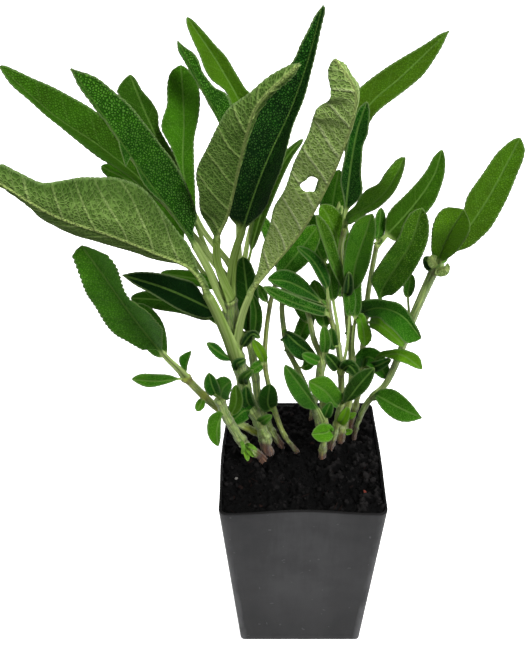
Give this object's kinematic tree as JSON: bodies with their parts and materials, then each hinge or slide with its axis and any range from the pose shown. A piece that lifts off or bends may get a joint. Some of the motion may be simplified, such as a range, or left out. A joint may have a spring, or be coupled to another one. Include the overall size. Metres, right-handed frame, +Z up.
{
  "type": "potted sage plant",
  "caption": "Young culinary sage, a salvia, with leafy stems of long pebbled leaves, standing in soil in a square black plastic nursery pot.",
  "frame": {"origin": "centre of the pot's flat base, on the surface that it stands on", "axes": "+Z up, +X to the right of the picture, -Y towards the camera, with the pot's sides square to X and Y"},
  "size_m": [0.1831, 0.1068, 0.2821],
  "materials": {
    "black_plastic": "satin",
    "moist_soil": "matte",
    "sage_leaf": "matte"
  },
  "bodies": {
    "root": {"pot": "black_plastic", "soil": "moist_soil", "shoot_tall": "sage_leaf", "shoot_tall_rear": "sage_leaf", "shoot_low_left": "sage_leaf", "shoot_side": "sage_leaf", "shoot_thin": "sage_leaf", "shoot_brown": "sage_leaf", "shoot_middle": "sage_leaf", "shoot_upright": "sage_leaf", "shoot_leaning": "sage_leaf", "shoot_right": "sage_leaf", "shoot_far_right": "sage_leaf", "shoot_rear": "sage_leaf"}
  },
  "joints": []
}
